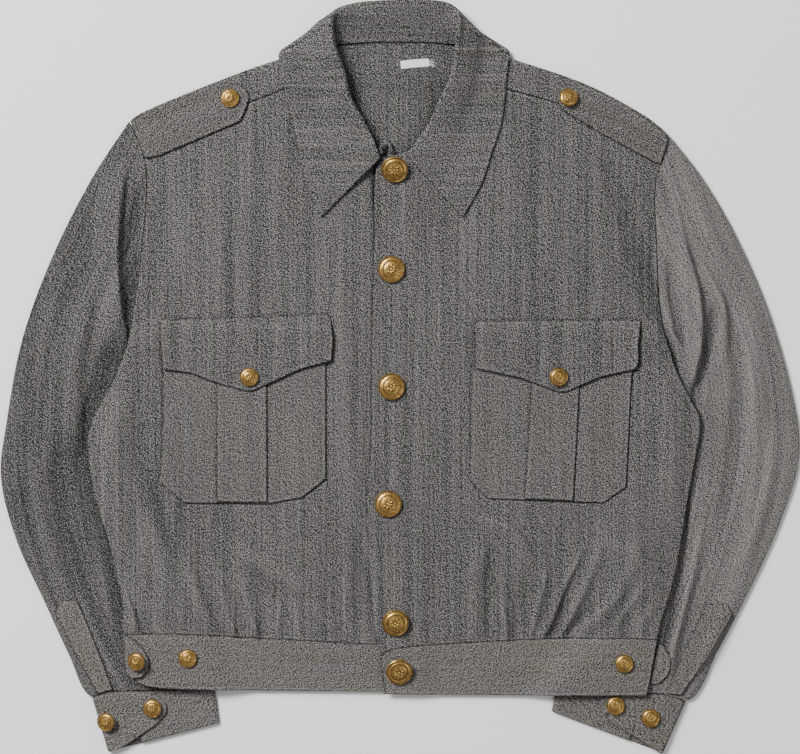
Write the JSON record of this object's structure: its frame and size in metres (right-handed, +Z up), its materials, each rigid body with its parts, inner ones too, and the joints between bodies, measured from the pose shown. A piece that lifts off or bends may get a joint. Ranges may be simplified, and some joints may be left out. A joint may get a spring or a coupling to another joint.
{
  "type": "military jacket",
  "caption": "Waist-length button-front cloth jacket laid flat, with turn-down collar, shoulder straps, flap chest pockets, long sleeves and buttoned cuffs and waistband.",
  "frame": {"origin": "middle of the footprint of the laid-flat jacket, on the surface it lies on", "axes": "+Z up from the surface out of the jacket's front, +Y from the hem to the collar, +X to the wearer's left"},
  "size_m": [0.7436, 0.7009, 0.024],
  "materials": {
    "jacket_cloth": "heather grey wool twill, dull, slightly napped",
    "band_cloth": "heather grey wool twill, doubled and pressed, dull",
    "label_tape": "plain off-white woven tape, worn",
    "button_brass": "aged brass, raised rim, tarnished in the recesses"
  },
  "bodies": {
    "root": {"back": "jacket_cloth", "front_right": "jacket_cloth", "front_left": "jacket_cloth", "yoke_right": "jacket_cloth", "yoke_left": "jacket_cloth", "sleeve_right": "jacket_cloth", "sleeve_left": "jacket_cloth", "cuff_right": "band_cloth", "cuff_left": "band_cloth", "sleeve_placket_right": "band_cloth", "sleeve_placket_left": "band_cloth", "collar": "jacket_cloth", "neck_loop": "jacket_cloth", "neck_label": "label_tape", "pocket_right": "jacket_cloth", "pocket_left": "jacket_cloth", "pocket_pleat_right": "jacket_cloth", "pocket_pleat_left": "jacket_cloth", "pocket_flap_right": "jacket_cloth", "pocket_flap_left": "jacket_cloth", "epaulette_right": "band_cloth", "epaulette_left": "band_cloth", "waistband_back": "band_cloth", "waistband_front_right": "band_cloth", "waistband_front_left": "band_cloth", "waist_tab_right": "band_cloth", "waist_tab_left": "band_cloth", "button_front_1": "button_brass", "button_front_2": "button_brass", "button_front_3": "button_brass", "button_front_4": "button_brass", "button_front_5": "button_brass", "button_waist_centre": "button_brass", "button_pocket_right": "button_brass", "button_pocket_left": "button_brass", "button_epaulette_right": "button_brass", "button_epaulette_left": "button_brass", "button_waist_tab": "button_brass", "button_waist_right": "button_brass", "button_waist_left": "button_brass", "button_cuff_right_1": "button_brass", "button_cuff_right_2": "button_brass", "button_cuff_left_1": "button_brass", "button_cuff_left_2": "button_brass"}
  },
  "joints": []
}
